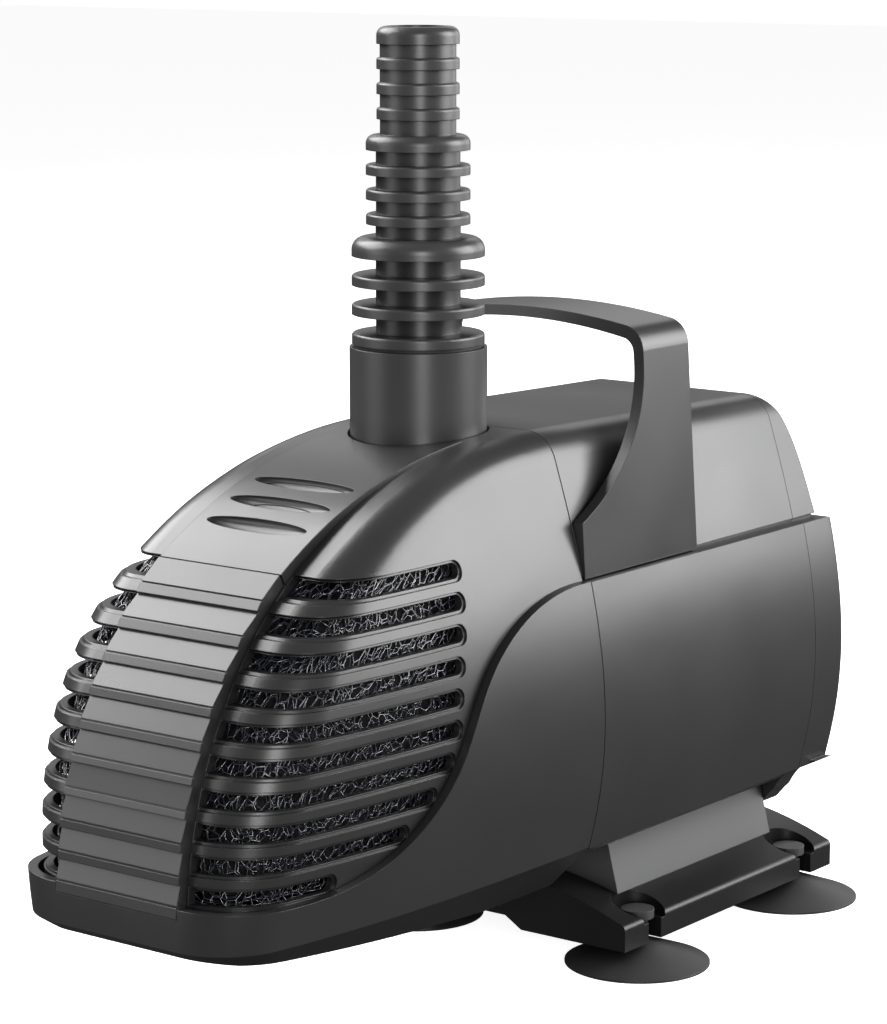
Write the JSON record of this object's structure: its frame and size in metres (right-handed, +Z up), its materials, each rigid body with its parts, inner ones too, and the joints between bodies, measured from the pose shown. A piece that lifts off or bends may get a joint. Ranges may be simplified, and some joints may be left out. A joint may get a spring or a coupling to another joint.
{
  "type": "submersible fountain pump",
  "caption": "Submersible fountain pump: slotted strainer nose over foam, stepped hose tail, strap handle, and a foot on suction cups.",
  "frame": {"origin": "middle of the footprint, on the floor under the suction cups", "axes": "+Z up, -Y towards the strainer's nose, X across the pump"},
  "size_m": [0.108, 0.2453, 0.2348],
  "materials": {
    "shell_plastic": "satin, fine grain",
    "base_plastic": "satin",
    "bracket_plastic": "satin, fine grain",
    "chamber_plastic": "satin",
    "impeller_plastic": "satin",
    "foam": "open-cell foam",
    "seal_rubber": "matte",
    "cup_rubber": "satin",
    "ceramic": "polished",
    "ferrite": "ground",
    "core_steel": "laminated",
    "copper": "enamelled",
    "resin": "gloss",
    "screw_steel": "polished"
  },
  "bodies": {
    "pump_body": {"upper_housing": "shell_plastic", "lower_housing": "shell_plastic", "rear_cover": "shell_plastic", "handle": "shell_plastic", "chamber_seal": "seal_rubber", "rear_bush": "seal_rubber", "rotor_can": "chamber_plastic", "stator_core": "core_steel", "stator_windings": "copper", "motor_potting": "resin", "motor_flange": "chamber_plastic", "flange_screws": "screw_steel", "rear_cover_screws": "screw_steel", "base_screws": "screw_steel", "cable_gland": "base_plastic", "gland_nut": "base_plastic", "base_plate": "base_plastic", "base_bracket": "bracket_plastic", "suction_cup_front_left": "cup_rubber", "suction_cup_front_right": "cup_rubber", "suction_cup_rear_left": "cup_rubber", "suction_cup_rear_right": "cup_rubber"},
    "front_housing": {"front_cover": "shell_plastic", "spine_band": "shell_plastic", "spine_cap": "shell_plastic", "front_tub": "shell_plastic", "filter_foam": "foam", "pump_chamber": "chamber_plastic", "impeller_cover": "chamber_plastic", "impeller_cover_screws": "screw_steel", "front_bush": "seal_rubber", "outlet_spigot": "shell_plastic"},
    "rotor": {"impeller": "impeller_plastic", "rotor_magnet": "ferrite", "rotor_shaft": "ceramic", "thrust_washer": "ceramic"},
    "tail_seal": {"outlet_seal": "seal_rubber"},
    "hose_tail": {"hose_adaptor": "shell_plastic"}
  },
  "joints": [
    {"name": "front_housing_slide", "type": "slide", "parent": "pump_body", "child": "front_housing", "axis": [0, -1, 0], "range_m": [0, 0.06]},
    {"name": "rotor_spin", "type": "hinge", "parent": "pump_body", "child": "rotor", "pos_m": [0, -0.01245, 0.075], "axis": [0, -1, 0], "continuous": true},
    {"name": "tail_lift", "type": "slide", "parent": "front_housing", "child": "tail_seal", "axis": [0, 0, 1], "range_m": [0, 0.00713]},
    {"name": "tail_turn", "type": "hinge", "parent": "tail_seal", "child": "hose_tail", "pos_m": [0, -0.01245, 0.16], "axis": [0, 0, 1], "range_deg": [0, 1080]}
  ],
  "couplings": [
    {"joint": "tail_lift", "follows": "tail_turn", "m_per_rad": 0.00036749}
  ]
}
